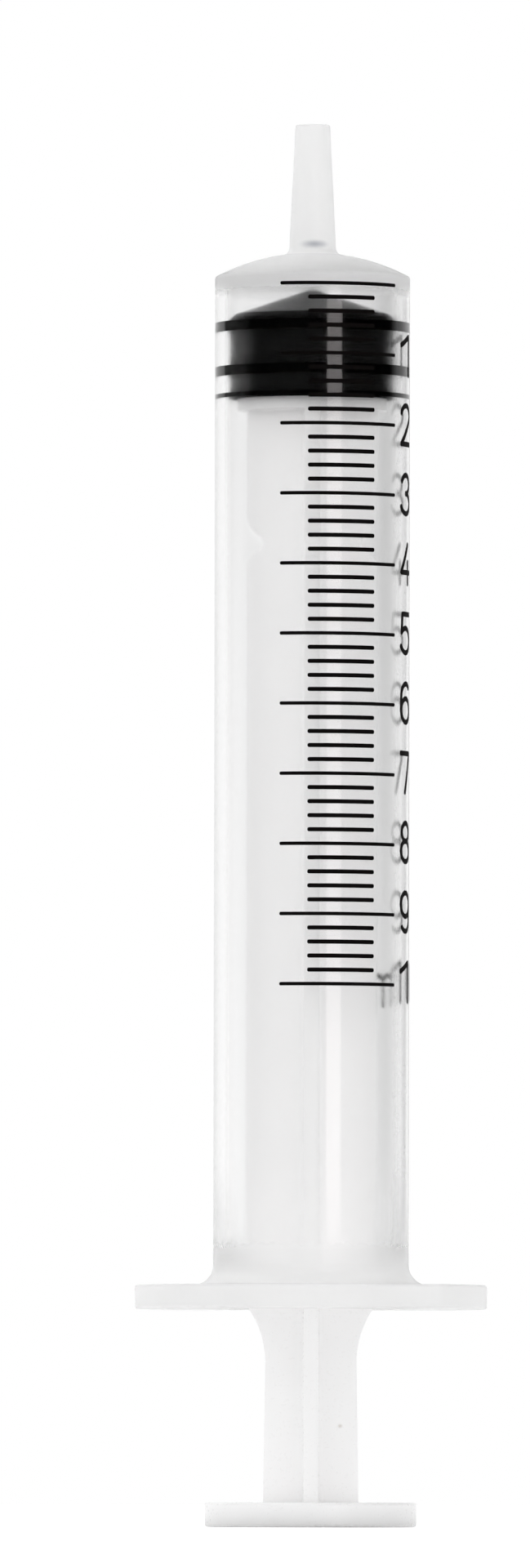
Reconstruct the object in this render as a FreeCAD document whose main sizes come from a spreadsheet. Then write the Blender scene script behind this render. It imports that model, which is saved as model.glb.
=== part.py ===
import FreeCAD, Part
import math
import os
import Sketcher

# A 10 mL syringe of three moulded pieces, standing on its thumb rest with the nozzle up.
# The common axis is Z, the finger flange is widest along X, and Z = 0 is the face of the thumb rest.
# The plunger stands drawn back by sizes.draw_back from its innermost place.

doc = FreeCAD.newDocument("syringe")

# Driving sizes, in millimetres and degrees
SIZES = {
    # Barrel
    "bore_diameter": 14.6,
    "barrel_wall": 1.05,
    "barrel_length": 88.3,
    "end_wall": 0.8,
    "dome_rise": 2.1,
    "corner_edge": 0.3,
    "nozzle_base_diameter": 4.05,
    "nozzle_tip_diameter": 2.95,
    "nozzle_length": 11.1,
    "nozzle_fillet": 0.6,
    "nozzle_edge": 0.2,
    "lumen_diameter": 1.4,
    "flange_width": 30.1,
    "flange_thickness": 2.05,
    "flange_fillet": 1.75,
    "flange_land": 0.4,
    "flange_corner": 1.5,
    "flange_edge": 0.25,
    "mouth_flare": 0.5,
    "mouth_flare_height": 3.3,
    "stop_ring_height": 0.2,
    "stop_ring_width": 2.2,
    "stop_ring_rise": 5.7,
    # Stopper
    "running_gap": 0.03,
    "stopper_height": 7.19,
    "nose_angle": 19,
    "lip_depth": 0.72,
    "lip_slope": 0.2,
    "lip_width": 0.87,
    "bottom_lip_width": 0.39,
    "middle_lip_rise": 1.87,
    "rim_chamfer": 0.65,
    # Plunger rod
    "thumb_diameter": 18.1,
    "thumb_thickness": 2.1,
    "thumb_edge": 0.25,
    "grip_radius": 3.4,
    "grip_pitch": 1.6,
    "grip_width": 0.6,
    "grip_depth": 0.2,
    "finger_gap": 13.8,
    "vane_thickness": 1.25,
    "vane_span": 11.14,
    "waist_span": 7.8,
    "foot_span": 8.15,
    "shoulder_radius": 8,
    "shoulder_inset": 3.1,
    "web_fillet": 0.5,
    "notch_drop": 12.33,
    "notch_gap": 1.2,
    "notch_core": 8.9,
    "notch_bottom": 0.9,
    "upper_lobe": 2.25,
    "lower_lobe": 1.6,
    "seat_diameter": 12.8,
    "seat_thickness": 1.0,
    "neck_diameter": 5.2,
    "neck_height": 1.8,
    "head_diameter": 8.0,
    "head_land": 1.0,
    "head_tip_diameter": 4.4,
    "head_taper": 2.2,
    # Fits and rest position
    "seat_gap": 0.06,
    "head_gap": 0.08,
    "draw_back": 2.7,
}

# Places that follow from the sizes; each piece is drawn from its own foot upwards
PLACES = {
    # Barrel, measured from the under side of its flange
    "bore_radius": "sizes.bore_diameter / 2",
    "outer_radius": "bore_radius + sizes.barrel_wall",
    "mouth_radius": "bore_radius + sizes.mouth_flare",
    "root_radius": "outer_radius + sizes.flange_fillet",
    "root_top": "sizes.flange_thickness + sizes.flange_fillet",
    "dome_radius": "(outer_radius^2 + sizes.dome_rise^2) / (2 * sizes.dome_rise)",
    "nozzle_radius": "sizes.nozzle_base_diameter / 2",
    "tip_radius": "sizes.nozzle_tip_diameter / 2",
    "lumen_radius": "sizes.lumen_diameter / 2",
    "dome_centre": "sizes.barrel_length + sizes.dome_rise - dome_radius",
    "nozzle_foot": "dome_centre + sqrt(dome_radius^2 - nozzle_radius^2)",
    "nozzle_top": "nozzle_foot + sizes.nozzle_length",
    "chamber_top": "sizes.barrel_length - sizes.end_wall",
    "lumen_foot": "chamber_top + (bore_radius - lumen_radius) * tan(sizes.nose_angle)",
    "stop_ring_half": "sizes.stop_ring_width / 2",
    "stop_ring_low": "sizes.stop_ring_rise - stop_ring_half",
    "stop_ring_high": "sizes.stop_ring_rise + stop_ring_half",
    "stop_ring_arc": "(stop_ring_half^2 + sizes.stop_ring_height^2) / (2 * sizes.stop_ring_height)",
    "flange_reach": "sizes.flange_width / 2",
    "flange_half_depth": "root_radius + sizes.flange_land",
    "flange_corner_reach": "sqrt(flange_reach^2 - flange_half_depth^2)",
    # Stopper's nose, measured from the stopper's foot: its cone carried on out to the bore
    "lip_radius": "bore_radius - sizes.running_gap",
    "rim_radius": "lip_radius - sizes.rim_chamfer",
    "nose_foot": "sizes.stopper_height - (bore_radius - rim_radius) * tan(sizes.nose_angle)",
    "nose_top": "sizes.stopper_height + rim_radius * tan(sizes.nose_angle)",
    # Plunger rod, measured from the face of the thumb rest
    "thumb_radius": "sizes.thumb_diameter / 2",
    "thumb_middle": "sizes.thumb_thickness / 2",
    "full_in": "sizes.thumb_thickness + sizes.finger_gap",
    "seat_top": "full_in + chamber_top - nose_foot - sizes.seat_gap",
    "seat_foot": "seat_top - sizes.seat_thickness",
    "seat_middle": "(seat_top + seat_foot) / 2",
    "seat_radius": "sizes.seat_diameter / 2",
    "vane_radius": "sizes.vane_span / 2",
    "waist_radius": "sizes.waist_span / 2",
    "foot_radius": "sizes.foot_span / 2",
    "shoulder_step": "vane_radius - waist_radius",
    "shoulder_top": "full_in + sizes.shoulder_inset",
    "shoulder_rise": "sqrt(sizes.shoulder_radius^2 - (sizes.shoulder_radius - shoulder_step)^2)",
    "shoulder_foot": "shoulder_top - shoulder_rise",
    "notch_middle": "seat_top - sizes.notch_drop",
    "notch_half": "sizes.notch_gap / 2",
    "notch_low": "notch_middle - notch_half",
    "notch_high": "notch_middle + notch_half",
    "notch_radius": "sizes.notch_core / 2",
    "notch_depth": "vane_radius - notch_radius",
    "lower_lobe_foot": "notch_low - sqrt(2 * sizes.lower_lobe * notch_depth - notch_depth^2)",
    "upper_lobe_top": "notch_high + sqrt(2 * sizes.upper_lobe * notch_depth - notch_depth^2)",
    "vane_half": "sizes.vane_thickness / 2",
    "web_radius": "vane_half + sizes.web_fillet",
    "neck_radius": "sizes.neck_diameter / 2",
    "neck_top": "seat_top + sizes.neck_height",
    "head_radius": "sizes.head_diameter / 2",
    "head_land_top": "neck_top + sizes.head_land",
    "head_tip_radius": "sizes.head_tip_diameter / 2",
    "head_top": "head_land_top + sizes.head_taper",
    # Stopper's grooves and socket, measured from its foot
    "groove_radius": "lip_radius - sizes.lip_depth",
    "middle_lip_top": "sizes.middle_lip_rise + sizes.lip_width",
    "rim_low": "sizes.stopper_height - sizes.rim_chamfer",
    "top_lip_foot": "rim_low - sizes.lip_width",
    "stopper_foot": "seat_top + sizes.seat_gap",
    "socket_neck": "neck_radius + sizes.head_gap",
    "socket_radius": "head_radius + sizes.head_gap",
    "socket_tip": "head_tip_radius + sizes.head_gap",
    "socket_ledge": "neck_top - stopper_foot - sizes.seat_gap",
    "socket_land_top": "head_land_top - stopper_foot + sizes.head_gap",
    "socket_top": "head_top - stopper_foot + sizes.head_gap",
    "barrel_foot": "full_in + sizes.draw_back",
}

GRIP_RINGS = 3
VANES = 4
FULL_TURN = 360
LEFT = 1
RIGHT = -1
CLOSE = 1e-4


def fill_sheet(name, rows, as_text):
    sheet = doc.addObject("Spreadsheet::Sheet", name)
    for row, (alias, entry) in enumerate(rows.items(), start=1):
        sheet.set(f"A{row}", alias)
        sheet.set(f"B{row}", as_text(entry))
        sheet.setAlias(f"B{row}", alias)
    return sheet


sizes = fill_sheet("sizes", SIZES, str)
places = fill_sheet("places", PLACES, "={}".format)
doc.recompute()


def bound(formula):
    """The formula as an expression: the bare name of a place gets its sheet's name in front."""
    return f"places.{formula}" if formula in PLACES else formula


def value(formula):
    return float(places.evalExpression(formula))


def new_body(label, foot="0"):
    """An empty body that stands at the height that the formula gives."""
    body = doc.addObject("PartDesign::Body", label)
    body.Label = label
    if foot != "0":
        body.setExpression("Placement.Base.z", bound(foot))
    return body


def origin_part(body, role):
    return next(part for part in body.Origin.OriginFeatures if part.Role == role)


def new_sketch(body, name, plane):
    sketch = body.newObject("Sketcher::SketchObject", name)
    sketch.AttachmentSupport = [(origin_part(body, plane), "")]
    sketch.MapMode = "FlatFace"
    return sketch


def arc_between(start, end, radius, side):
    """The shorter arc from start to end, with its centre on that side of the way."""
    chord = end - start
    reach = math.sqrt(max(radius**2 - chord.Length**2 / 4, 0))
    across = FreeCAD.Vector(-chord.y, chord.x, 0).normalize()
    centre = (start + end) / 2 + across * (side * reach)
    first, last = (start, end) if side == LEFT else (end, start)
    turn_from = math.atan2(first.y - centre.y, first.x - centre.x)
    turn_to = math.atan2(last.y - centre.y, last.x - centre.x)
    if turn_to <= turn_from:
        turn_to += 2 * math.pi
    circle = Part.Circle(centre, FreeCAD.Vector(0, 0, 1), radius)
    return Part.ArcOfCircle(circle, turn_from, turn_to)


def bind_corner(sketch, edge, end, formulas):
    """Hold one corner at its two formulas, measured from the sketch's origin."""
    for kind, axis, formula in zip(("DistanceX", "DistanceY"), (-2, -1), formulas):
        if formula == "0":
            sketch.addConstraint(Sketcher.Constraint("PointOnObject", edge, end, axis))
            continue
        constraint = Sketcher.Constraint(kind, -1, 1, edge, end, value(bound(formula)))
        index = sketch.addConstraint(constraint)
        sketch.setExpression(f"Constraints[{index}]", bound(formula))


def outline(body, name, plane, corners):
    """A closed sketch through the corners.

    A corner is (across, up), or (across, up, radius, side) where an arc with its centre on that
    side of the way leads on to the next corner.
    """
    sketch = new_sketch(body, name, plane)
    spots = [FreeCAD.Vector(value(bound(c[0])), value(bound(c[1])), 0) for c in corners]
    ends = []
    for index, corner in enumerate(corners):
        start, end = spots[index], spots[(index + 1) % len(spots)]
        if len(corner) == 2:
            sketch.addGeometry(Part.LineSegment(start, end), False)
            ends.append((1, 2))
            continue
        radius, side = corner[2:]
        sketch.addGeometry(arc_between(start, end, value(bound(radius)), side), False)
        ends.append((1, 2) if side == LEFT else (2, 1))
    for index, corner in enumerate(corners):
        after = (index + 1) % len(corners)
        meet = Sketcher.Constraint("Coincident", index, ends[index][1], after, ends[after][0])
        sketch.addConstraint(meet)
        bind_corner(sketch, index, ends[index][0], corner[:2])
    for index, corner in enumerate(corners):
        if len(corner) > 2:
            constraint = Sketcher.Constraint("Radius", index, value(bound(corner[2])))
            place = sketch.addConstraint(constraint)
            sketch.setExpression(f"Constraints[{place}]", bound(corner[2]))
    return sketch


def turned(body, name, corners, kind="PartDesign::Revolution"):
    """A full turn about Z of an outline drawn in the XZ plane."""
    sketch = outline(body, f"{name}_outline", "XZ_Plane", corners)
    feature = body.newObject(kind, name)
    feature.Profile = sketch
    feature.ReferenceAxis = (sketch, ["V_Axis"])
    feature.Angle = FULL_TURN
    doc.recompute()


def padded(body, name, plane, length, corners):
    """An outline drawn in that plane and drawn out from it."""
    pad = body.newObject("PartDesign::Pad", name)
    pad.Profile = outline(body, f"{name}_outline", plane, corners)
    pad.setExpression("Length", bound(length))
    doc.recompute()
    return pad


def rounded(body, name, radius, belongs):
    """A fillet on those edges of the body so far that belong."""
    base = body.Tip
    names = [f"Edge{i}" for i, edge in enumerate(base.Shape.Edges, start=1) if belongs(edge)]
    fillet = body.newObject("PartDesign::Fillet", name)
    fillet.Base = (base, names)
    fillet.setExpression("Radius", bound(radius))
    doc.recompute()


def ring_edge(radius, height):
    """A test for the circular edge of that radius at that height."""
    radius, height = value(bound(radius)), value(bound(height))

    def belongs(edge):
        curve = edge.Curve
        if not isinstance(curve, Part.Circle):
            return False
        return abs(curve.Radius - radius) < CLOSE and abs(curve.Center.z - height) < CLOSE

    return belongs


# Barrel: one moulding with nozzle, domed end, finger flange, flared mouth and retaining ring
def build_barrel():
    body = new_body("barrel", "barrel_foot")
    turned(body, "barrel_outside", [
        ("0", "0"),
        ("root_radius", "0"),
        ("root_radius", "sizes.flange_thickness", "sizes.flange_fillet", RIGHT),
        ("outer_radius", "root_top"),
        ("outer_radius", "sizes.barrel_length", "dome_radius", LEFT),
        ("nozzle_radius", "nozzle_foot"),
        ("tip_radius", "nozzle_top"),
        ("0", "nozzle_top"),
    ])
    padded(body, "flange", "XY_Plane", "sizes.flange_thickness", [
        ("flange_corner_reach", "-places.flange_half_depth", "flange_reach", LEFT),
        ("flange_corner_reach", "flange_half_depth"),
        ("-places.flange_corner_reach", "flange_half_depth", "flange_reach", LEFT),
        ("-places.flange_corner_reach", "-places.flange_half_depth"),
    ])
    turned(body, "chamber", [
        ("0", "0"),
        ("mouth_radius", "0"),
        ("bore_radius", "sizes.mouth_flare_height"),
        ("bore_radius", "stop_ring_low", "stop_ring_arc", RIGHT),
        ("bore_radius", "stop_ring_high"),
        ("bore_radius", "chamber_top"),
        ("lumen_radius", "lumen_foot"),
        ("lumen_radius", "nozzle_top"),
        ("0", "nozzle_top"),
    ], "PartDesign::Groove")
    rounded(body, "nozzle_root", "sizes.nozzle_fillet", ring_edge("nozzle_radius", "nozzle_foot"))
    rounded(body, "nozzle_end", "sizes.nozzle_edge", ring_edge("tip_radius", "nozzle_top"))
    rounded(body, "barrel_corner", "sizes.corner_edge", ring_edge("outer_radius", "sizes.barrel_length"))
    rounded(body, "flange_corners", "sizes.flange_corner", upright_flange_edge)
    rounded(body, "flange_edges", "sizes.flange_edge", level_flange_edge)
    return body


def on_flange_rim(edge):
    nearest = min(math.hypot(corner.X, corner.Y) for corner in edge.Vertexes)
    return nearest > value("places.root_radius") + CLOSE


def upright_flange_edge(edge):
    return on_flange_rim(edge) and edge.BoundBox.ZLength > value("sizes.flange_thickness") - CLOSE


def level_flange_edge(edge):
    return on_flange_rim(edge) and edge.BoundBox.ZLength < CLOSE


# Plunger rod: thumb rest, four vanes with a notch, seat disc and the head that snaps into the stopper
def build_plunger_rod():
    body = new_body("plunger_rod")
    turned(body, "thumb_rest", [
        ("0", "0"),
        ("places.thumb_radius - sizes.thumb_edge", "0", "sizes.thumb_edge", LEFT),
        ("thumb_radius", "sizes.thumb_edge"),
        ("thumb_radius", "sizes.thumb_thickness - sizes.thumb_edge", "sizes.thumb_edge", LEFT),
        ("places.thumb_radius - sizes.thumb_edge", "sizes.thumb_thickness"),
        ("0", "sizes.thumb_thickness"),
    ])
    for ring in range(GRIP_RINGS):
        add_grip_ring(body, ring)
    add_vanes(body)
    turned(body, "snap_head", [
        ("0", "seat_foot"),
        ("seat_radius", "seat_foot"),
        ("seat_radius", "seat_top"),
        ("neck_radius", "seat_top"),
        ("neck_radius", "neck_top"),
        ("head_radius", "neck_top"),
        ("head_radius", "head_land_top"),
        ("head_tip_radius", "head_top"),
        ("0", "head_top"),
    ])
    return body


def add_grip_ring(body, ring):
    """A shallow ring groove in the face of the thumb rest."""
    middle = f"sizes.grip_radius + {ring} * sizes.grip_pitch"
    turned(body, f"grip_ring_{ring + 1}", [
        (f"{middle} - sizes.grip_width / 2", "0"),
        (f"{middle} + sizes.grip_width / 2", "0"),
        (f"{middle} + sizes.grip_width / 4", "sizes.grip_depth"),
        (f"{middle} - sizes.grip_width / 4", "sizes.grip_depth"),
    ], "PartDesign::Groove")


def add_vanes(body):
    """One vane and one quarter of the web fillets, repeated around the axis."""
    vane = padded(body, "vane", "XZ_Plane", "sizes.vane_thickness", [
        ("0", "thumb_middle"),
        ("foot_radius", "thumb_middle"),
        ("foot_radius", "sizes.thumb_thickness"),
        ("waist_radius", "shoulder_foot", "sizes.shoulder_radius", RIGHT),
        ("vane_radius", "shoulder_top"),
        ("vane_radius", "lower_lobe_foot", "sizes.lower_lobe", LEFT),
        ("notch_radius", "notch_low", "sizes.notch_bottom", RIGHT),
        ("notch_radius", "notch_high", "sizes.upper_lobe", LEFT),
        ("vane_radius", "upper_lobe_top"),
        ("vane_radius", "seat_middle"),
        ("0", "seat_middle"),
    ])
    vane.SideType = "Symmetric"
    web = padded(body, "web", "XY_Plane", "places.seat_middle - places.thumb_middle", [
        ("0", "0"),
        ("web_radius", "0"),
        ("web_radius", "vane_half", "sizes.web_fillet", RIGHT),
        ("vane_half", "web_radius"),
        ("0", "web_radius"),
    ])
    web.Profile[0].setExpression("AttachmentOffset.Base.z", "places.thumb_middle")
    cross = body.newObject("PartDesign::PolarPattern", "vane_cross")
    cross.Originals = [vane, web]
    cross.Axis = (origin_part(body, "Z_Axis"), [""])
    cross.Angle = FULL_TURN
    cross.Occurrences = VANES
    body.Tip = cross
    doc.recompute()


# Stopper: rubber with three sealing lips, a nose that fits the barrel's end and a socket for the head
def build_stopper():
    body = new_body("stopper", "stopper_foot")
    turned(body, "stopper_body", [
        ("socket_neck", "0"),
        ("lip_radius", "0"),
        ("lip_radius", "sizes.bottom_lip_width"),
        ("groove_radius", "sizes.bottom_lip_width + sizes.lip_slope"),
        ("groove_radius", "sizes.middle_lip_rise - sizes.lip_slope"),
        ("lip_radius", "sizes.middle_lip_rise"),
        ("lip_radius", "middle_lip_top"),
        ("groove_radius", "places.middle_lip_top + sizes.lip_slope"),
        ("groove_radius", "places.top_lip_foot - sizes.lip_slope"),
        ("lip_radius", "top_lip_foot"),
        ("lip_radius", "rim_low"),
        ("rim_radius", "sizes.stopper_height"),
        ("0", "nose_top"),
        ("0", "socket_top"),
        ("socket_tip", "socket_top"),
        ("socket_radius", "socket_land_top"),
        ("socket_radius", "socket_ledge"),
        ("socket_neck", "socket_ledge"),
    ])
    return body


def check(bodies):
    """Stop if any object failed or any piece isn't one valid solid."""
    doc.recompute()
    for thing in doc.Objects:
        if "Invalid" in thing.State or "Error" in thing.State:
            raise RuntimeError(f"{thing.Name} failed: {thing.State}")
    for body in bodies:
        if body.Shape.isNull() or not body.Shape.isValid() or len(body.Shape.Solids) != 1:
            raise RuntimeError(f"{body.Label} is not one valid solid")


bodies = [build_barrel(), build_stopper(), build_plunger_rod()]
check(bodies)
os.makedirs("parts", exist_ok=True)
for body in bodies:
    print(body.Label, "volume", round(body.Shape.Volume, 2), "mm3")
    body.Shape.exportStep(os.path.join("parts", body.Label + ".step"))
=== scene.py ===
import math

import bpy
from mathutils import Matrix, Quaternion, Vector


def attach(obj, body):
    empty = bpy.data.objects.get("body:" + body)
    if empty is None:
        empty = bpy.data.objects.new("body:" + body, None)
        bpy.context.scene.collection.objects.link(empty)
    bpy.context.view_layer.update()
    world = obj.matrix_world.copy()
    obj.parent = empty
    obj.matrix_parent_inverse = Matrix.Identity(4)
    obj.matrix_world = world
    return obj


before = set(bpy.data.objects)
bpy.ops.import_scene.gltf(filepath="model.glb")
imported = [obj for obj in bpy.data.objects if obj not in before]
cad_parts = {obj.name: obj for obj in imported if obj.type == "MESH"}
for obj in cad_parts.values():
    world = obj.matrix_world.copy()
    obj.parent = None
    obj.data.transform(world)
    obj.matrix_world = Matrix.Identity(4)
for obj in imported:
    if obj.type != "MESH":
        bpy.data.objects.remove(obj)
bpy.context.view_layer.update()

# A 10 mL slip tip syringe of translucent polypropylene, standing on its thumb rest with the nozzle up.
# Lengths are in metres, so a size in millimetres is written times MM. Azimuth is the angle round the
# syringe's upright axis, from the front towards the right.
MM = 0.001
DEGREE = math.pi / 180

# The barrel: its outside, its bore, and the heights of its finger flange, of the retaining ring inside its
# mouth, of the chamber's end and of the nozzle's foot.
BARREL_RADIUS = 8.35 * MM
BORE_RADIUS = 7.3 * MM
FLANGE_LOW = 18.6 * MM
FLANGE_TOP = 20.65 * MM
RING_LOW = 23.2 * MM
RING_HIGH = 25.4 * MM
CHAMBER_TOP = 106.1 * MM
NOZZLE_FOOT = 108.6 * MM

# Roughness of the barrel's polished wall, and what adds to it: all of the bore, the mouth, the thick
# flange, dome and nozzle, and an upright strip of the bore, on the right, that the plunger scuffed. The
# strip's edge is soft, between two angles off its middle.
WALL_HAZE = 0.1
WALL_HAZE_GRAIN = 0.02
BORE_HAZE = 0.02
MOUTH_HAZE = 0.12
THICK_HAZE = 0.35
SCUFF_HAZE = 0.16
SCUFF_AZIMUTH = 74 * DEGREE
SCUFF_CORE = 10 * DEGREE
SCUFF_EDGE = 15 * DEGREE

# The share of light that the barrel scatters where it is thick, like milk, instead of letting it through.
THICK_MILKINESS = 0.6

POLYPROPYLENE_IOR = 1.49

# Two small marks: a faint grey speck that the moulding left in the rod, low on its right vane, and a bluish
# painted shade where the nozzle's bore opens into the chamber, standing for the dark mouth of the bore seen
# through the plastic. Each has its centre and its reach along the axes.
ROD_SPECK = (2.5 * MM, -0.62 * MM, 8.63 * MM)
ROD_SPECK_REACH = (0.32 * MM, 0.5 * MM, 0.28 * MM)
LUMEN_MOUTH_SHADE = (0.2 * MM, -1.9 * MM, 109.65 * MM)
LUMEN_MOUTH_SHADE_REACH = (1.7 * MM, 1.2 * MM, 0.5 * MM)

# The heights between which each of the stopper's lips bears on the bore, how far a lip is squeezed against
# it, and how thick its skin is.
LIPS = [(96.45 * MM, 96.83 * MM), (98.32 * MM, 99.18 * MM), (102.12 * MM, 102.98 * MM)]
LIP_SQUEEZE = 0.03 * MM
LIP_SKIN = 0.12 * MM

# The shallow hollows between the lips, which stay just clear of the bore: their heights, the radius of
# their face and how thick their skin is.
HOLLOWS = [(96.83 * MM, 98.32 * MM), (99.18 * MM, 102.12 * MM)]
HOLLOW_RADIUS = 7.1 * MM
HOLLOW_SKIN = 0.9 * MM

# The heights over which the stopper's nose rises clear of the bore.
NOSE_LOW = 103.0 * MM
NOSE_HIGH = 103.9 * MM

# The picture: one of its pixels is this long at the syringe, and these are the column of the syringe's
# axis half way up and the row of the floor.
PICTURE_WIDTH = 649
PICTURE_HEIGHT = 1920
PIXEL = 0.0698 * MM
AXIS_COLUMN = 381.8
FLOOR_ROW = 1869.7

# The printed scale. Its lines stand one for every fifth of a millilitre, and a whole one is long. Each line
# runs from one azimuth to another, in degrees, as do the numerals and the unit from theirs.
SCALE_TOP = 105.93 * MM
MILLILITRE = 5.973 * MM
MILLILITRES = 10
LINES_TO_A_MILLILITRE = 5
LONG_LINE = (-18.3, 56.4)
SHORT_LINE = (-1.5, 38.0)
LONG_LINE_INK = 0.3 * MM
SHORT_LINE_INK = 0.36 * MM

# The ink's edge goes a little into the barrel, its face stands a little proud of it, and it follows the
# barrel's curve in steps.
INK_SINK = 0.005 * MM
INK_PROUD = 0.02 * MM
INK_STEP = 0.14 * MM

# The numerals. Each stands a little above the middle of its line, and a little more so down the scale.
NUMERAL_AZIMUTH = 65.5
NUMERAL_HEIGHT = 3.3 * MM
NUMERAL_WIDTH = 2.3 * MM
NUMERAL_INK = 0.45 * MM
NUMERAL_LIFT = 0.14 * MM
NUMERAL_LIFT_GAIN = 0.025 * MM
UNIT_AZIMUTH = 107.5
UNIT_LIFT = 0.1 * MM


def linear(colour):
    """The linear colour of an sRGB hex value such as "#F0F0EE"."""
    parts = [int(colour[i:i + 2], 16) / 255 for i in (1, 3, 5)]
    return [p / 12.92 if p <= 0.04045 else ((p + 0.055) / 1.055) ** 2.4 for p in parts] + [1.0]


def add(tree, kind, inputs=None, **settings):
    """Adds a node. An input is given a plain value, or another node's output to link to."""
    node = tree.nodes.new("ShaderNode" + kind)
    for name, setting in settings.items():
        setattr(node, name, setting)
    for socket, given in (inputs or {}).items():
        if isinstance(given, bpy.types.NodeSocket):
            tree.links.new(given, node.inputs[socket])
        else:
            node.inputs[socket].default_value = given
    return node


def new_material(name):
    """An empty node material and its tree."""
    material = bpy.data.materials.new(name)
    material.use_nodes = True
    material.node_tree.nodes.clear()
    return material, material.node_tree


def finish_surface(tree, surface):
    """Joins a shader to the material's output."""
    add(tree, "OutputMaterial", {"Surface": surface})


def speckle(tree, size, detail=2.0, stretch=(1, 1, 1)):
    """Noise whose grains are about the given size, fixed to the piece, as a value from 0 to 1."""
    place = add(tree, "TexCoord").outputs["Object"]
    spread = add(tree, "Mapping", {"Vector": place, "Scale": stretch}).outputs["Vector"]
    noise = add(tree, "TexNoise", {"Vector": spread, "Scale": 1 / size, "Detail": detail})
    return noise.outputs["Fac"]


def between(tree, value, low, high, value_low=0.3, value_high=0.7):
    """A value from value_low to value_high, spread over the range from low to high."""
    spread = add(tree, "MapRange", {
        "Value": value, "From Min": value_low, "From Max": value_high, "To Min": low, "To Max": high})
    return spread.outputs["Result"]


def ramp(tree, value, value_low, value_high, low, high):
    """A value that goes smoothly from low to high while the given one crosses its own range."""
    spread = add(tree, "MapRange", {
        "Value": value, "From Min": value_low, "From Max": value_high, "To Min": low, "To Max": high},
        interpolation_type="SMOOTHSTEP")
    return spread.outputs["Result"]


def spot(tree, centre, reach):
    """1 at a point of the piece, falling softly to 0 at the given reach from it along each axis."""
    place = add(tree, "TexCoord").outputs["Object"]
    off = add(tree, "VectorMath", {0: place, 1: centre}, operation="SUBTRACT").outputs["Vector"]
    share = add(tree, "VectorMath", {0: off, 1: reach}, operation="DIVIDE").outputs["Vector"]
    return ramp(tree, add(tree, "VectorMath", {0: share}, operation="LENGTH").outputs["Value"], 0, 1, 1, 0)


def marked(tree, clean, share, mark):
    """A colour that goes over to that of a mark where the share is 1."""
    return add(tree, "Mix", {"Factor": share, "A": clean, "B": linear(mark)}, data_type="RGBA").outputs[2]


def blended(tree, value, colour_low, colour_high):
    """The colour that a value from 0 to 1 picks between two hex colours."""
    mix = add(tree, "Mix", {"Factor": between(tree, value, 0, 1), "A": linear(colour_low),
                            "B": linear(colour_high)}, data_type="RGBA")
    return mix.outputs[2]


def total(tree, values):
    """The sum of several values."""
    reached = values[0]
    for value in values[1:]:
        reached = add(tree, "Math", {0: reached, 1: value}, operation="ADD").outputs[0]
    return reached


def dented(tree, value, depth, normal=None):
    """A normal bent as if the surface rose and fell by the given depth where the value does."""
    inputs = {"Height": value, "Distance": depth, "Strength": 1.0}
    if normal:
        inputs["Normal"] = normal
    return add(tree, "Bump", inputs).outputs["Normal"]


def round_bore(tree, level, radius, height):
    """The surface's normal, but that of the plain round bore on the slight slopes of its ring and mouth."""
    own = add(tree, "NewGeometry").outputs["Normal"]
    back = add(tree, "VectorMath", {0: own, "Scale": -1.0}, operation="SCALE").outputs["Vector"]
    outward = add(tree, "VectorMath", {0: level}, operation="NORMALIZE").outputs["Vector"]
    round_off = add(tree, "VectorTransform", {0: outward}, vector_type="NORMAL", convert_from="OBJECT",
                    convert_to="WORLD").outputs["Vector"]
    faced = add(tree, "VectorMath", {
        0: round_off, 1: back, 2: round_off}, operation="FACEFORWARD").outputs["Vector"]
    inner = between(tree, radius, 1, 0, BARREL_RADIUS - 0.25 * MM, BARREL_RADIUS - 0.2 * MM)
    low = between(tree, height, 1, 0, RING_HIGH + 0.5 * MM, RING_HIGH + 1 * MM)
    off_flange = between(tree, height, 0, 1, FLANGE_LOW + 0.02 * MM, FLANGE_LOW + 0.05 * MM)
    share = add(tree, "Math", {0: inner, 1: low}, operation="MULTIPLY").outputs[0]
    share = add(tree, "Math", {0: share, 1: off_flange}, operation="MULTIPLY").outputs[0]
    mix = add(tree, "Mix", {"Factor": share, 4: own, 5: faced}, data_type="VECTOR")
    return mix.outputs[1]


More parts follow.
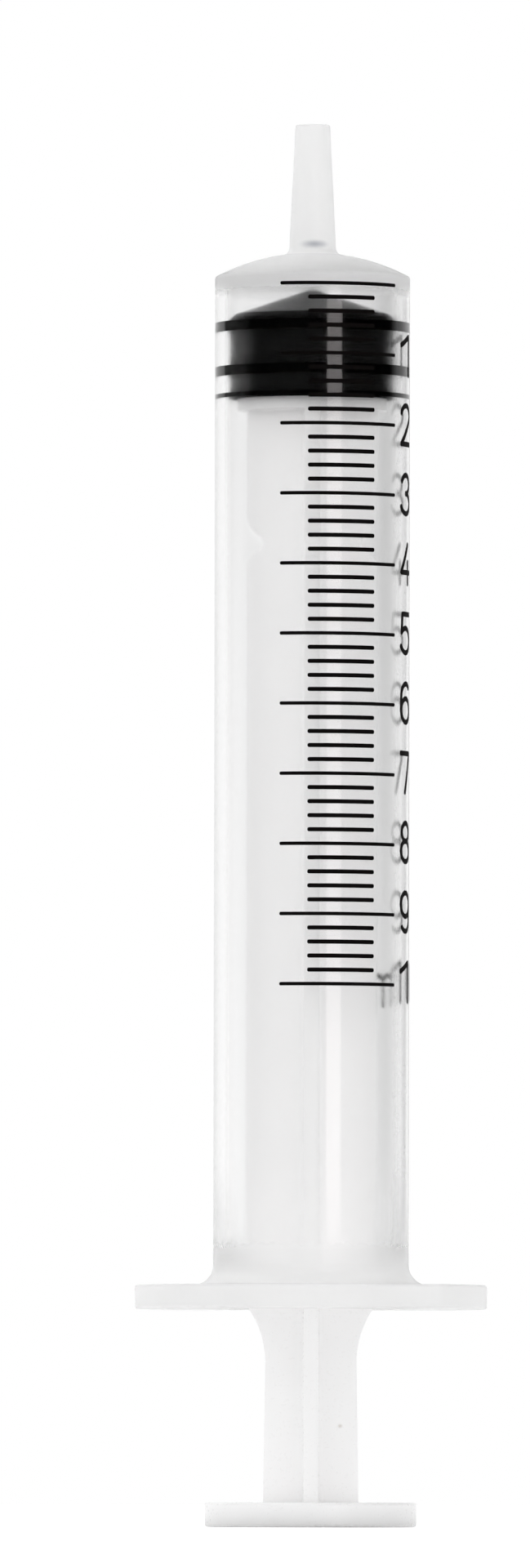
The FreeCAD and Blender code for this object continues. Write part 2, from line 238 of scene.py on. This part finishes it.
# Clear polypropylene, injection moulded on a polished tool: see-through where it is a thin wall, and hazy
# and milky where it is thick, in the flange, the domed end and the nozzle. The mouth and a strip of the
# bore are a little scuffed, and the gloss wavers along the way that the melt flowed.
def clear_polypropylene():
    material, tree = new_material("polypropylene_clear_polished_mould")
    flow = speckle(tree, 2.5 * MM, 3.0, (1, 1, 0.12))
    grain = speckle(tree, 0.5 * MM)
    place = add(tree, "TexCoord").outputs["Object"]
    height = add(tree, "SeparateXYZ", {0: place}).outputs["Z"]
    level = add(tree, "VectorMath", {0: place, 1: (1, 1, 0)}, operation="MULTIPLY").outputs["Vector"]
    radius = add(tree, "VectorMath", {0: level}, operation="LENGTH").outputs["Value"]
    ahead = (math.sin(SCUFF_AZIMUTH), -math.cos(SCUFF_AZIMUTH), 0)
    facing = add(tree, "VectorMath", {
        0: add(tree, "VectorMath", {0: level}, operation="NORMALIZE").outputs["Vector"], 1: ahead},
        operation="DOT_PRODUCT").outputs["Value"]
    inner = between(tree, radius, 1, 0, BORE_RADIUS + 0.3 * MM, BARREL_RADIUS - 0.3 * MM)
    scuffed = add(tree, "Math", {
        0: inner,
        1: ramp(tree, facing, math.cos(SCUFF_EDGE), math.cos(SCUFF_CORE), BORE_HAZE, SCUFF_HAZE)},
        operation="MULTIPLY").outputs[0]
    haze = total(tree, [
        between(tree, height, THICK_HAZE - MOUTH_HAZE, 0, FLANGE_TOP + 1 * MM, FLANGE_TOP + 4.2 * MM),
        between(tree, height, MOUTH_HAZE, 0, RING_LOW, RING_HIGH + 6 * MM),
        between(tree, height, 0, THICK_HAZE, CHAMBER_TOP - 1 * MM, CHAMBER_TOP + 0.2 * MM),
        scuffed,
        between(tree, grain, WALL_HAZE - WALL_HAZE_GRAIN, WALL_HAZE + WALL_HAZE_GRAIN)])
    clear = total(tree, [
        between(tree, height, -THICK_MILKINESS, 0, FLANGE_TOP + 0.2 * MM, FLANGE_TOP + 3.2 * MM),
        between(tree, height, 1, 1 - THICK_MILKINESS, CHAMBER_TOP - 1 * MM, NOZZLE_FOOT + 0.3 * MM)])
    # The base colour carries a bluish painted shade where the nozzle's bore opens into the chamber.
    shader = add(tree, "BsdfPrincipled", {
        "Base Color": marked(tree, blended(tree, flow, "#FDFDFD", "#FEFEFE"),
                             spot(tree, LUMEN_MOUTH_SHADE, LUMEN_MOUTH_SHADE_REACH), "#B2B5BC"),
        "Roughness": haze,
        "IOR": POLYPROPYLENE_IOR,
        "Transmission Weight": clear,
        "Normal": dented(tree, flow, 0.0006 * MM, round_bore(tree, level, radius, height))})
    finish_surface(tree, shader.outputs["BSDF"])
    return material


# Natural polypropylene, injection moulded on a satin tool: milky, so that light soaks through the thin
# vanes and comes out soft, faintly cloudy from the filling, with a low satin sheen.
def milky_polypropylene():
    material, tree = new_material("polypropylene_milky_satin_mould")
    cloud = speckle(tree, 5 * MM, 3.0, (1, 1, 0.3))
    grain = speckle(tree, 0.25 * MM)
    shader = add(tree, "BsdfPrincipled", {
        "Base Color": marked(tree, blended(tree, cloud, "#FBFAFA", "#FDFCFC"),
                             spot(tree, ROD_SPECK, ROD_SPECK_REACH), "#D8D4D0"),
        "Roughness": between(tree, grain, 0.26, 0.36),
        "IOR": POLYPROPYLENE_IOR,
        "Subsurface Weight": 1.0,
        "Subsurface Radius": (1, 1, 1),
        "Subsurface Scale": 3.0 * MM,
        "Normal": dented(tree, grain, 0.001 * MM)})
    finish_surface(tree, shader.outputs["BSDF"])
    return material


# Synthetic rubber, compression moulded black and wetted with silicone oil: deep black, with a wet film over
# a fine moulded grain that shines where it turns edge on. A lip that is pressed against the bore, with no
# air between the two, doesn't shine, and the hollows shine less and less towards the lips: painted shade,
# taking the shine away where the lips would shadow the corners beside them.
def oiled_rubber():
    material, tree = new_material("butyl_rubber_moulded_oiled")
    grain = speckle(tree, 0.3 * MM, 4.0)
    height = add(tree, "SeparateXYZ", {0: add(tree, "TexCoord").outputs["Object"]}).outputs["Z"]
    shines_and_corner_shade = [ramp(tree, height, NOSE_LOW, NOSE_HIGH, 0, 1)]
    # Each hollow's shine fades towards its lips, a painted shade in the corners beside them.
    for low, high in HOLLOWS:
        half = (high - low) / 2
        off = add(tree, "Math", {0: height, 1: low + half}, operation="SUBTRACT").outputs[0]
        off = add(tree, "Math", {0: off}, operation="ABSOLUTE").outputs[0]
        shines_and_corner_shade.append(ramp(tree, off, half * 0.3, half, 1, 0))
    black = blended(tree, grain, "#000000", "#010101")
    pressed_and_shaded = add(tree, "BsdfPrincipled", {
        "Base Color": black, "Roughness": 0.5, "Specular IOR Level": 0.0})
    oiled = add(tree, "BsdfPrincipled", {
        "Base Color": black,
        "Roughness": between(tree, grain, 0.14, 0.22),
        "Specular IOR Level": 0.34,
        "Normal": dented(tree, grain, 0.004 * MM)})
    both = add(tree, "MixShader", {
        0: total(tree, shines_and_corner_shade), 1: pressed_and_shaded.outputs["BSDF"], 2: oiled.outputs["BSDF"]})
    finish_surface(tree, both.outputs[0])
    return material


# Black printing ink, rolled on and cured: matt, a warm black that thins a little where the roller
# gave less.
def printing_ink(name, thin, full):
    material, tree = new_material(name)
    cover = speckle(tree, 0.6 * MM, 3.0)
    shader = add(tree, "BsdfPrincipled", {
        "Base Color": blended(tree, cover, full, thin),
        "Roughness": between(tree, cover, 0.6, 0.8),
        "Specular IOR Level": 0.04})
    finish_surface(tree, shader.outputs["BSDF"])
    return material


def solid(name, vertices, faces, material, body):
    """A mesh piece with one material that rides on a body."""
    mesh = bpy.data.meshes.new(name)
    mesh.from_pydata(vertices, [], faces)
    mesh.materials.append(material)
    piece = bpy.data.objects.new(name, mesh)
    bpy.context.scene.collection.objects.link(piece)
    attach(piece, body)
    return piece


def on_barrel(along, up, radius):
    """A point on a circle round the axis: along is measured round the barrel's outside from its front."""
    angle = along / BARREL_RADIUS
    return (radius * math.sin(angle), -radius * math.cos(angle), up)


def resampled(path):
    """The path's points again, never further apart than the ink's step."""
    points = [Vector(path[0])]
    for corner in path[1:]:
        start = points[-1]
        run = Vector(corner) - start
        steps = max(1, math.ceil(run.length / INK_STEP))
        points += [start + run * (n / steps) for n in range(1, steps + 1)]
    return points


def inked(paths, width):
    """Vertices and faces of strokes of ink with round ends, laid on the barrel along the given paths."""
    vertices, faces = [], []
    cap = [k * math.pi / 8 for k in range(4)]
    for path in paths:
        points = resampled(path)
        ways = [(points[min(i + 1, len(points) - 1)] - points[max(i - 1, 0)]).normalized()
                for i in range(len(points))]
        half = width / 2
        tip = half * 0.05
        rows = [(points[0] - ways[0] * half * math.cos(a), ways[0], half * math.sin(a) + tip) for a in cap]
        rows += [(point, way, half) for point, way in zip(points, ways)]
        rows += [(points[-1] + ways[-1] * half * math.cos(a), ways[-1], half * math.sin(a) + tip)
                 for a in reversed(cap)]
        first = len(vertices)
        for point, way, reach in rows:
            side = Vector((-way.y, way.x)) * reach
            for along, up in (point + side, point - side):
                vertices.append(on_barrel(along, up, BARREL_RADIUS + INK_PROUD))
                vertices.append(on_barrel(along, up, BARREL_RADIUS - INK_SINK))
        for row in range(len(rows) - 1):
            a = first + row * 4
            b = a + 4
            faces += [(a, a + 2, b + 2, b), (a + 1, b + 1, b + 3, a + 3),
                      (a, b, b + 1, a + 1), (a + 2, a + 3, b + 3, b + 2)]
        last = first + (len(rows) - 1) * 4
        faces += [(first, first + 1, first + 3, first + 2), (last, last + 2, last + 3, last + 1)]
    return vertices, faces


def bend(centre_along, centre_up, reach_along, reach_up, start, end, steps=14):
    """Points of an elliptical arc. Its angles are degrees, from the right and upwards."""
    angles = [(start + (end - start) * n / steps) * DEGREE for n in range(steps + 1)]
    return [(centre_along + reach_along * math.cos(a), centre_up + reach_up * math.sin(a)) for a in angles]


# Strokes of the figures, in a box one wide and one high: plain single-stroke figures with round bowls.
FIGURES = {
    "0": [bend(0.5, 0.7, 0.5, 0.3, 0, 180) + bend(0.5, 0.3, 0.5, 0.3, 180, 360) + [(1, 0.7)]],
    "1": [[(0.0, 0.76), (1.0, 1.0), (1.0, 0.0)]],
    "2": [bend(0.5, 0.73, 0.5, 0.27, 165, -25) + [(0.0, 0.0)], [(0.0, 0.0), (1.0, 0.0)]],
    "3": [bend(0.48, 0.76, 0.44, 0.24, 160, -90), bend(0.48, 0.26, 0.52, 0.26, 90, -160)],
    "4": [[(0.72, 1.0), (0.0, 0.28), (1.0, 0.28)], [(0.74, 0.55), (0.74, 0.0)]],
    "5": [[(0.95, 1.0), (0.12, 1.0), (0.06, 0.55)], bend(0.46, 0.32, 0.54, 0.32, 140, -150)],
    "6": [bend(0.5, 0.31, 0.5, 0.31, 0, 360),
          [(0.0, 0.31), (0.02, 0.62)] + bend(0.52, 0.68, 0.5, 0.32, 180, 45)],
    "7": [[(0.0, 1.0), (1.0, 1.0), (0.42, 0.0)]],
    "8": [bend(0.5, 0.76, 0.42, 0.24, 0, 360), bend(0.5, 0.27, 0.5, 0.27, 0, 360)],
    "9": [bend(0.5, 0.69, 0.5, 0.31, 0, 360),
          [(1.0, 0.69), (0.98, 0.38)] + bend(0.48, 0.32, 0.5, 0.32, 0, -135)],
    "m": [[(0.0, 0.78), (0.0, 0.0)], bend(0.25, 0.58, 0.25, 0.2, 180, 0) + [(0.5, 0.0)],
          bend(0.75, 0.58, 0.25, 0.2, 180, 0) + [(1.0, 0.0)]],
    "l": [[(0.0, 1.0), (0.0, 0.0)]],
}

# A figure's width and the space after it, where a plain figure is one wide.
FIGURE_WIDTHS = {"0": 0.75, "1": 0.85, "m": 1.87, "l": 0.1}
FIGURE_SPACE = 0.7


def written(text, azimuth, middle):
    """Paths of a text's strokes on the barrel, from an azimuth in degrees to the right of it."""
    along = azimuth * DEGREE * BARREL_RADIUS
    paths = []
    for letter in text:
        wide = NUMERAL_WIDTH * FIGURE_WIDTHS.get(letter, 1.0)
        for stroke in FIGURES[letter]:
            paths.append([(along + across * wide, middle + (up - 0.5) * NUMERAL_HEIGHT)
                          for across, up in stroke])
        along += wide + NUMERAL_WIDTH * FIGURE_SPACE
    return paths


def scale_line(reach, up):
    """Path of a scale line between two azimuths in degrees."""
    return [(azimuth * DEGREE * BARREL_RADIUS, up) for azimuth in reach]


def print_scale():
    """The graduations, their numerals and the unit, as thin ink on the barrel."""
    black = printing_ink("printing_ink_black_cured", "#0D0A09", "#060404")
    heights = [SCALE_TOP - n * MILLILITRE / LINES_TO_A_MILLILITRE
               for n in range(MILLILITRES * LINES_TO_A_MILLILITRE + 1)]
    long_lines = [scale_line(LONG_LINE, up) for up in heights[::LINES_TO_A_MILLILITRE]]
    short_lines = [scale_line(SHORT_LINE, up) for n, up in enumerate(heights) if n % LINES_TO_A_MILLILITRE]
    numerals = []
    for number in range(1, MILLILITRES + 1):
        lift = NUMERAL_LIFT + NUMERAL_LIFT_GAIN * (number - 2)
        numerals += written(str(number), NUMERAL_AZIMUTH, heights[number * LINES_TO_A_MILLILITRE] + lift)
    unit = written("ml", UNIT_AZIMUTH, heights[-1] + UNIT_LIFT)
    solid("scale_lines_long", *inked(long_lines, LONG_LINE_INK), black, "cylinder")
    solid("scale_lines_short", *inked(short_lines, SHORT_LINE_INK), black, "cylinder")
    solid("scale_numerals", *inked(numerals, NUMERAL_INK), black, "cylinder")
    solid("scale_unit", *inked(unit, NUMERAL_INK), black, "cylinder")


def dress_nodes(rubber):
    """Gives the solids of the frame their materials."""
    finishes = {
        "barrel": clear_polypropylene(),
        "plunger_rod": milky_polypropylene(),
        "stopper": rubber,
    }
    for node, material in finishes.items():
        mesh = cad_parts[node].data
        mesh.materials.clear()
        mesh.materials.append(material)


def banded(heights, outer, skin, sides=128):
    """Vertices and faces of plain rings of one radius and thickness, each between its two heights."""
    corners = [(outer, 1), (outer, 0), (outer - skin, 0), (outer - skin, 1)]
    vertices, faces = [], []
    for ends in heights:
        first = len(vertices)
        for side in range(sides):
            angle = 2 * math.pi * side / sides
            vertices += [(radius * math.cos(angle), radius * math.sin(angle), ends[upper])
                         for radius, upper in corners]
        for side in range(sides):
            a = first + side * 4
            b = first + (side + 1) % sides * 4
            faces += [(a + k, a + (k + 1) % 4, b + (k + 1) % 4, b + k) for k in range(4)]
    return vertices, faces


def press_stopper(rubber):
    """The outermost skin of the stopper: its lips, squeezed against the bore so that no air is left
    between, and the hollows between them."""
    for name, shape in (("stopper_lip_skins", banded(LIPS, BORE_RADIUS + LIP_SQUEEZE, LIP_SKIN)),
                        ("stopper_hollow_skins", banded(HOLLOWS, HOLLOW_RADIUS, HOLLOW_SKIN))):
        skin = solid(name, *shape, rubber, "seal")
        skin.data.shade_smooth()
        skin.data.set_sharp_from_angle(angle=30 * DEGREE)


# White paper, calendered smooth and matt, with the faintest cloud of its fibres. Seen directly or through
# the plastic it gets a little light of its own, so that it shows as white where nothing shades it.
def white_paper():
    material, tree = new_material("studio_paper_white")
    grain = speckle(tree, 3 * MM, 4.0)
    path = add(tree, "LightPath").outputs
    seen = add(tree, "Math", {0: path["Is Camera Ray"], 1: path["Is Glossy Ray"]}, operation="MAXIMUM")
    seen = add(tree, "Math", {0: seen.outputs[0], 1: path["Is Transmission Ray"]}, operation="MAXIMUM")
    paper = add(tree, "BsdfDiffuse", {"Color": blended(tree, grain, "#F4F4F4", "#F7F7F7")})
    lift = add(tree, "Emission", {
        "Color": linear("#FFFFFF"),
        "Strength": add(tree, "Math", {0: seen.outputs[0], 1: 0.3}, operation="MULTIPLY").outputs[0]})
    both = add(tree, "AddShader", {0: paper.outputs[0], 1: lift.outputs[0]})
    finish_surface(tree, both.outputs[0])
    return material


def lay_floor():
    """A plain pale floor, just under the thumb rest."""
    half = 2.5
    under = -0.02 * MM
    mesh = bpy.data.meshes.new("floor")
    corners = [(-half, -half, under), (half, -half, under), (half, half, under), (-half, half, under)]
    mesh.from_pydata(corners, [], [(0, 1, 2, 3)])
    mesh.materials.append(white_paper())
    floor = bpy.data.objects.new("floor", mesh)
    bpy.context.scene.collection.objects.link(floor)


def product(tree, one, other):
    """One value times another."""
    return add(tree, "Math", {0: one, 1: other}, operation="MULTIPLY").outputs[0]


def choice(tree, share, one, other):
    """One value, going over to the other where the share is 1."""
    return add(tree, "Mix", {"Factor": share, "A": one, "B": other}, data_type="FLOAT").outputs[0]


def more_than_half(tree, value):
    """1 where the value is more than a half, and otherwise 0."""
    return add(tree, "Math", {0: value, 1: 0.5}, operation="GREATER_THAN").outputs[0]


def room_level(tree):
    """How bright the white room is along each ray. Its axes are those of the syringe: X to the right, Y to
    the back and Z upwards."""
    way = add(tree, "SeparateXYZ", {0: add(tree, "TexCoord").outputs["Generated"]}).outputs
    path = add(tree, "LightPath").outputs

    # Seen through the plastic, the room is dimmer on the right, and more so above the horizon.
    dim_right = between(tree, way["Z"], 0.82, 0.59, 0.01, 0.06)
    through = choice(tree, ramp(tree, way["X"], -0.1, 0.25, 0.0, 1.0), 1.0, dim_right)

    # In reflections only the back of the room is lit. The dark front reaches further round on the right
    # and upwards, and takes in what is high up at the back right and at the far left.
    back_right = product(
        tree, ramp(tree, way["X"], 0.0, 0.1, 0.0, 1.0), ramp(tree, way["Z"], 0.3, 0.45, 0.0, -1.0))
    far_left = product(
        tree, ramp(tree, way["X"], -0.82, -0.72, 1.0, 0.0), ramp(tree, way["Z"], 0.05, 0.058, 0.0, -1.0))
    backward = total(tree, [
        way["Y"], between(tree, way["X"], 0, -0.5, 0, 1), between(tree, way["Z"], 0, -0.3, 0, 1),
        back_right, far_left])
    mirrored = product(
        tree, ramp(tree, backward, -0.25, 0.1, 0.0, 1.0), ramp(tree, way["X"], 0.6, 0.8, 1.0, 0.78))

    # Light that was scattered on its way makes up for what the dark front keeps back, more so where it
    # has come out of the plastic.
    scattered = choice(
        tree, path["Is Transmission Ray"], ramp(tree, way["X"], -0.6, 0.4, 1.05, 0.92),
        ramp(tree, way["X"], -0.2, 0.6, 1.82, 1.62))

    clean = choice(tree, more_than_half(tree, path["Glossy Depth"]), through, mirrored)
    lit = choice(tree, more_than_half(tree, path["Diffuse Depth"]), clean, scattered)
    return choice(tree, path["Is Camera Ray"], lit, 1.0)


def light_studio():
    """A white room, with one tall soft box at the front right."""
    world = bpy.data.worlds.new("white_studio")
    bpy.context.scene.world = world
    world.use_nodes = True
    tree = world.node_tree
    tree.nodes.clear()
    back = add(tree, "Background", {"Color": linear("#FFFFFF"), "Strength": room_level(tree)})
    add(tree, "OutputWorld", {"Surface": back.outputs[0]})

    away = 1.0
    up = 0.3
    turn = 26 * DEGREE
    target = Vector((0, 0, 70 * MM))
    box = bpy.data.lights.new("soft_box", "AREA")
    box.shape = "RECTANGLE"
    box.size = 0.32
    box.size_y = 0.8
    box.energy = 2.6
    box.color = linear("#FFF8F8")[:3]
    lamp = bpy.data.objects.new("soft_box", box)
    bpy.context.scene.collection.objects.link(lamp)
    lamp.location = (away * math.sin(turn), -away * math.cos(turn), up)
    lamp.rotation_mode = "QUATERNION"
    lamp.rotation_quaternion = (target - lamp.location).to_track_quat("-Z", "Y")
    lamp.visible_camera = False
    lamp.visible_diffuse = False
    lamp.visible_transmission = False


def place_camera():
    """A long lens far off, held just above the floor, looking a little up at the syringe's middle."""
    away = 1.6
    eye_height = 3 * MM
    lean = 0.1 * DEGREE
    sensor = 36
    eye = Vector(((PICTURE_WIDTH / 2 - AXIS_COLUMN) * PIXEL, -away, eye_height))
    aim = Vector((eye.x, 0, (FLOOR_ROW - PICTURE_HEIGHT / 2) * PIXEL))
    lens = bpy.data.cameras.new("camera")
    lens.sensor_fit = "VERTICAL"
    lens.sensor_height = sensor
    lens.lens = sensor * away / (PICTURE_HEIGHT * PIXEL)
    lens.clip_start = 0.01
    lens.clip_end = 20
    camera = bpy.data.objects.new("camera", lens)
    bpy.context.scene.collection.objects.link(camera)
    camera.location = eye
    camera.rotation_mode = "QUATERNION"
    straight = (aim - eye).to_track_quat("-Z", "Y")
    camera.rotation_quaternion = straight @ Quaternion((0, 0, 1), lean)
    bpy.context.scene.camera = camera


def set_view():
    """Plain colours, and enough bounces for light to get through all the clear walls."""
    scene = bpy.context.scene
    scene.view_settings.view_transform = "Standard"
    scene.cycles.max_bounces = 32
    scene.cycles.transmission_bounces = 24
    scene.cycles.diffuse_bounces = 12
    scene.cycles.glossy_bounces = 8


stopper_rubber = oiled_rubber()
dress_nodes(stopper_rubber)
press_stopper(stopper_rubber)
print_scale()
lay_floor()
light_studio()
place_camera()
set_view()
